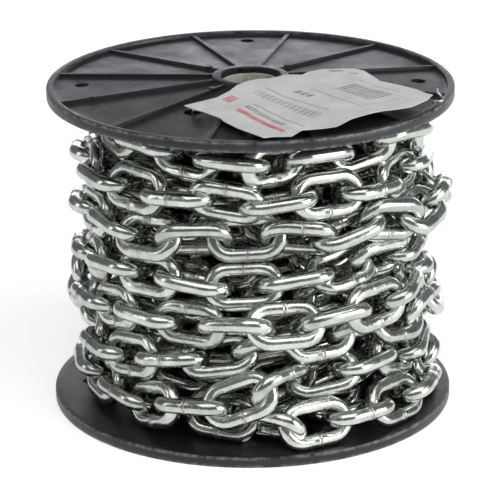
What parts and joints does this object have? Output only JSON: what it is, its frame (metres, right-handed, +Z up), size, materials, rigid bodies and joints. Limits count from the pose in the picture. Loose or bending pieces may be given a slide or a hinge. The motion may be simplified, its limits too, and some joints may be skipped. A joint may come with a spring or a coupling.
{
  "type": "reel of steel chain",
  "caption": "Bright zinc-plated short-link chain wound on a black plastic reel with ribbed flanges and a paper label.",
  "frame": {"origin": "on the reel's axis, in the plane that it stands on", "axes": "+Z up along the reel's axis; -Y towards the picture's camera"},
  "size_m": [0.15, 0.15, 0.1265],
  "materials": {
    "plastic": "satin",
    "cardboard": "matte",
    "zinc": "bright zinc plating",
    "paper": "matte",
    "tie": "satin"
  },
  "bodies": {
    "root": {"top_flange": "plastic", "bottom_flange": "plastic", "core_tube": "cardboard", "chain_turn_1": "zinc", "chain_turn_2": "zinc", "chain_turn_3": "zinc", "chain_turn_4": "zinc", "chain_turn_5": "zinc", "chain_turn_6": "zinc", "chain_turn_7": "zinc", "chain_turn_8": "zinc", "inner_turn_1": "zinc", "inner_turn_2": "zinc", "inner_turn_3": "zinc", "inner_turn_4": "zinc", "inner_turn_5": "zinc", "inner_turn_6": "zinc", "chain_core": "zinc", "label": "paper", "label_tie": "tie", "end_tie": "tie"}
  },
  "joints": []
}
